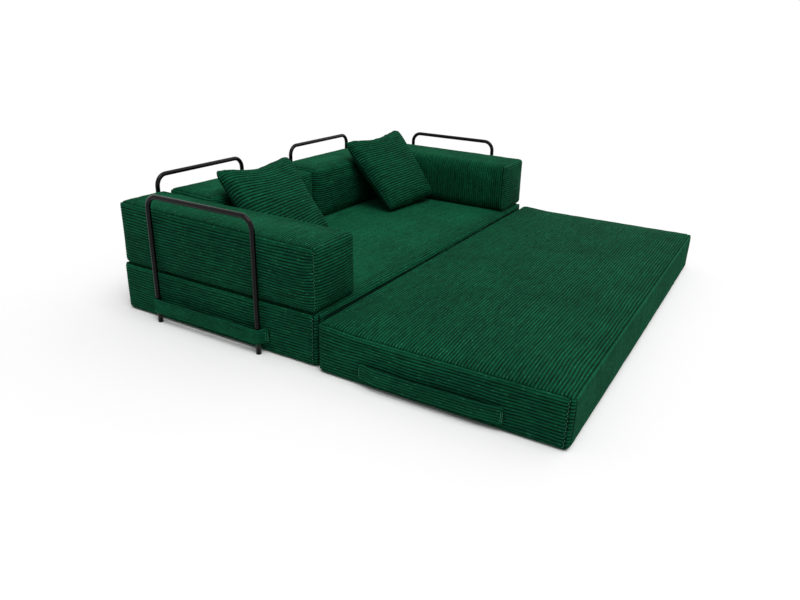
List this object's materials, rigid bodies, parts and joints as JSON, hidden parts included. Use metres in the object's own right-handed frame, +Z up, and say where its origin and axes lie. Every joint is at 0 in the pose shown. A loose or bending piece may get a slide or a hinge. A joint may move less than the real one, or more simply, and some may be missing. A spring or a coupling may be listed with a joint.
{
  "type": "sofa bed",
  "caption": "Low fold-out sofa bed of green corduroy box cushions, with loose bolsters, scatter pillows and bent-tube rails held in sewn straps.",
  "frame": {"origin": "on the floor, in the middle of the whole object's plan with the bed folded out", "axes": "+X to the right-hand arm as seen from the foot of the bed, +Y to the back bolsters, +Z up"},
  "size_m": [2.107, 2.0103, 0.5738],
  "materials": {
    "corduroy": "wide-wale cotton corduroy, deep green, soft sheen",
    "webbing": "folded and stitched cover fabric, deep green",
    "foam": "open-cell polyurethane foam, matt",
    "wadding": "loose polyester fill, matt",
    "rail_steel": "black powder coat, satin",
    "end_plug": "moulded rubber, matt"
  },
  "bodies": {
    "base": {"base_cover": "corduroy", "base_foam": "foam", "fold_strip": "corduroy", "left_rail_strap": "webbing", "right_rail_strap": "webbing", "back_left_rail_strap": "webbing", "back_right_rail_strap": "webbing"},
    "extension": {"extension_cover": "corduroy", "extension_foam": "foam", "left_handle": "webbing", "right_handle": "webbing"},
    "left_arm": {"left_arm_cover": "corduroy", "left_arm_foam": "foam"},
    "right_arm": {"right_arm_cover": "corduroy", "right_arm_foam": "foam"},
    "back_left": {"back_left_cover": "corduroy", "back_left_foam": "foam"},
    "back_right": {"back_right_cover": "corduroy", "back_right_foam": "foam"},
    "left_pillow": {"left_pillow_cover": "corduroy", "left_pillow_fill": "wadding"},
    "right_pillow": {"right_pillow_cover": "corduroy", "right_pillow_fill": "wadding"},
    "left_rail": {"left_rail": "rail_steel", "left_rail_feet": "end_plug"},
    "right_rail": {"right_rail": "rail_steel", "right_rail_feet": "end_plug"},
    "back_left_rail": {"back_left_rail": "rail_steel", "back_left_rail_feet": "end_plug"},
    "back_right_rail": {"back_right_rail": "rail_steel", "back_right_rail_feet": "end_plug"}
  },
  "joints": [
    {"name": "fold", "type": "hinge", "parent": "base", "child": "extension", "pos_m": [0, -0.0542, 0.188], "axis": [-1, 0, 0], "range_deg": [0, 90]},
    {"name": "left_arm_lift", "type": "slide", "parent": "base", "child": "left_arm", "axis": [0, 0, 1], "range_m": [0, 0.34]},
    {"name": "right_arm_lift", "type": "slide", "parent": "base", "child": "right_arm", "axis": [0, 0, 1], "range_m": [0, 0.34]},
    {"name": "back_left_lift", "type": "slide", "parent": "base", "child": "back_left", "axis": [0, 0, 1], "range_m": [0, 0.34]},
    {"name": "back_right_lift", "type": "slide", "parent": "base", "child": "back_right", "axis": [0, 0, 1], "range_m": [0, 0.34]},
    {"name": "left_pillow_lift", "type": "slide", "parent": "back_left", "child": "left_pillow", "axis": [0, 0, 1], "range_m": [0, 0.3]},
    {"name": "right_pillow_lift", "type": "slide", "parent": "back_right", "child": "right_pillow", "axis": [0, 0, 1], "range_m": [0, 0.3]},
    {"name": "left_rail_lift", "type": "slide", "parent": "base", "child": "left_rail", "axis": [0, 0, 1], "range_m": [0, 0.11]},
    {"name": "right_rail_lift", "type": "slide", "parent": "base", "child": "right_rail", "axis": [0, 0, 1], "range_m": [0, 0.11]},
    {"name": "back_left_rail_lift", "type": "slide", "parent": "base", "child": "back_left_rail", "axis": [0, 0, 1], "range_m": [0, 0.11]},
    {"name": "back_right_rail_lift", "type": "slide", "parent": "base", "child": "back_right_rail", "axis": [0, 0, 1], "range_m": [0, 0.11]}
  ]
}
